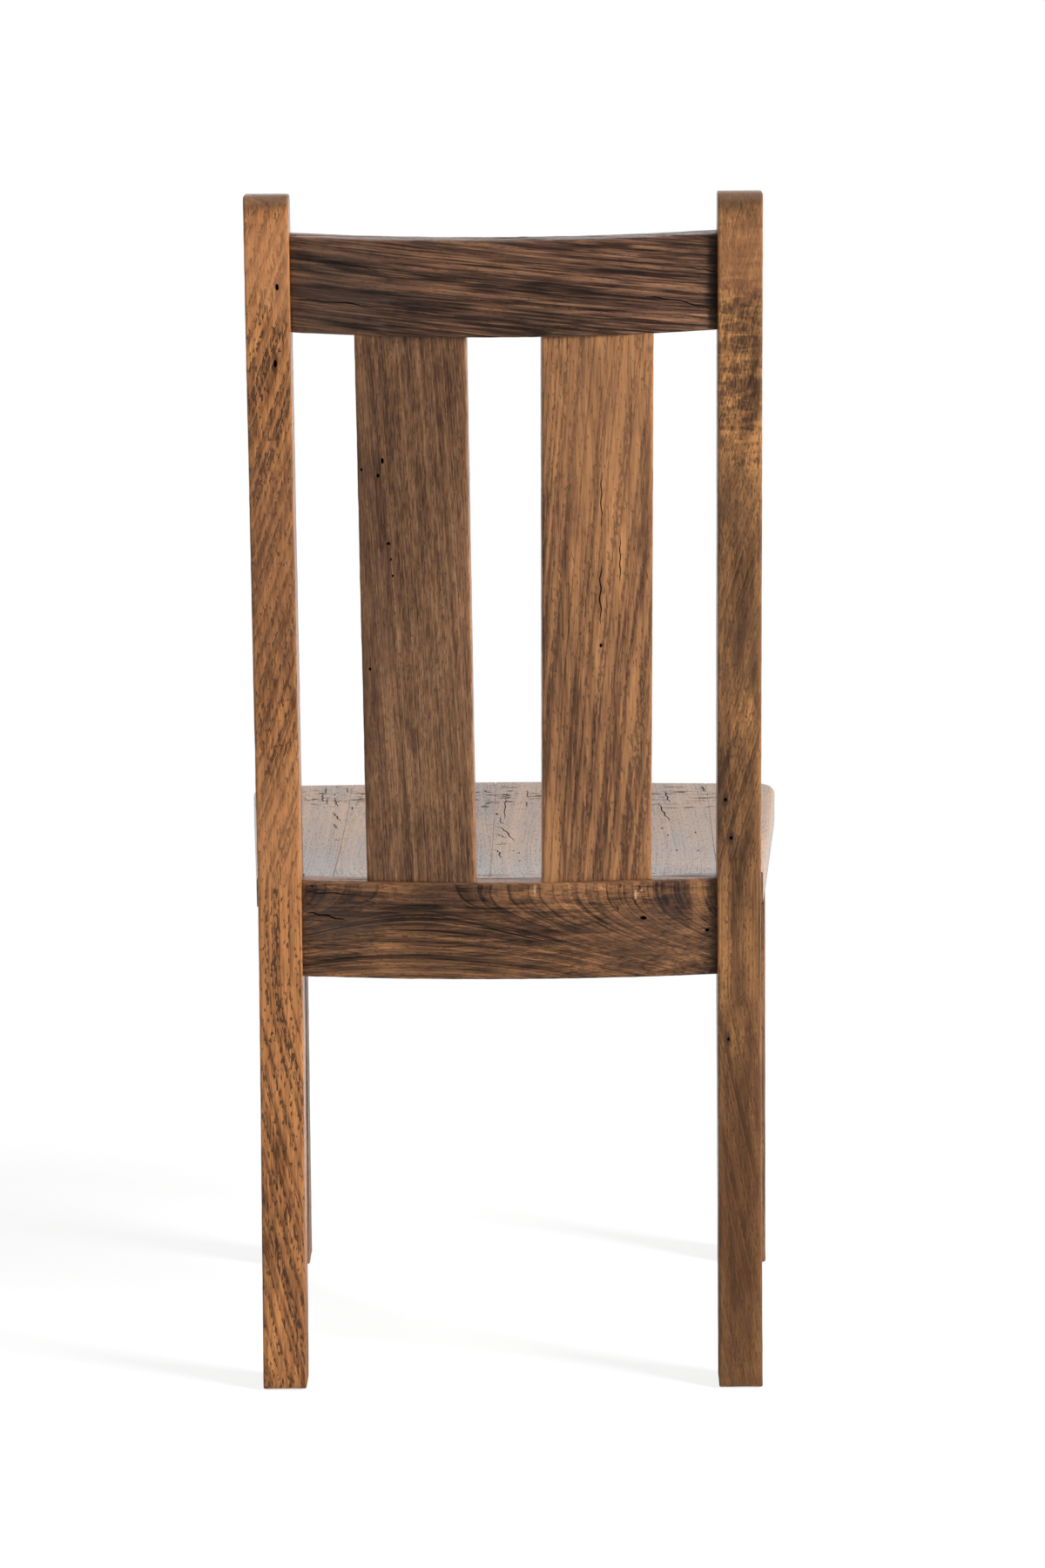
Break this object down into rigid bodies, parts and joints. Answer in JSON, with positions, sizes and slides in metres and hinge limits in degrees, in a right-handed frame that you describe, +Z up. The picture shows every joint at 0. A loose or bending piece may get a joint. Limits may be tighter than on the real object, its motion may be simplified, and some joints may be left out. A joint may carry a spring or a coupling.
{
  "type": "side chair",
  "caption": "Wooden side chair with a bowed crest rail, broad vertical back slats, square posts and a thick scooped plank seat.",
  "frame": {"origin": "on the floor, under the middle of the chair's overall box", "axes": "+Z up, the sitter faces -Y, +X to the sitter's left"},
  "size_m": [0.498, 0.4862, 1.057],
  "materials": {
    "post_wood": "satin varnish over old honey brown wood",
    "rail_wood": "satin varnish over dark brown streaked wood",
    "dark_slat_wood": "satin varnish over straight grained brown wood",
    "light_slat_wood": "satin varnish over coarse flat sawn honey wood",
    "seat_wood": "satin varnish over worn planks",
    "apron_wood": "satin varnish",
    "block_wood": "bare sawn wood",
    "screw_steel": "plain steel"
  },
  "bodies": {
    "root": {"rear_post_left": "post_wood", "rear_post_right": "post_wood", "crest_rail": "rail_wood", "lower_back_rail": "rail_wood", "back_slat_left": "dark_slat_wood", "back_slat_right": "light_slat_wood", "seat_plank_1": "seat_wood", "seat_plank_2": "seat_wood", "seat_plank_3": "seat_wood", "seat_plank_4": "seat_wood", "seat_plank_5": "seat_wood", "seat_plank_6": "seat_wood", "front_leg_left": "post_wood", "front_leg_right": "post_wood", "front_apron": "apron_wood", "side_apron_left": "apron_wood", "side_apron_right": "apron_wood", "corner_block_front_left": "block_wood", "corner_block_front_right": "block_wood", "corner_block_rear_left": "block_wood", "corner_block_rear_right": "block_wood", "block_screws": "screw_steel", "seat_screws": "screw_steel"}
  },
  "joints": []
}
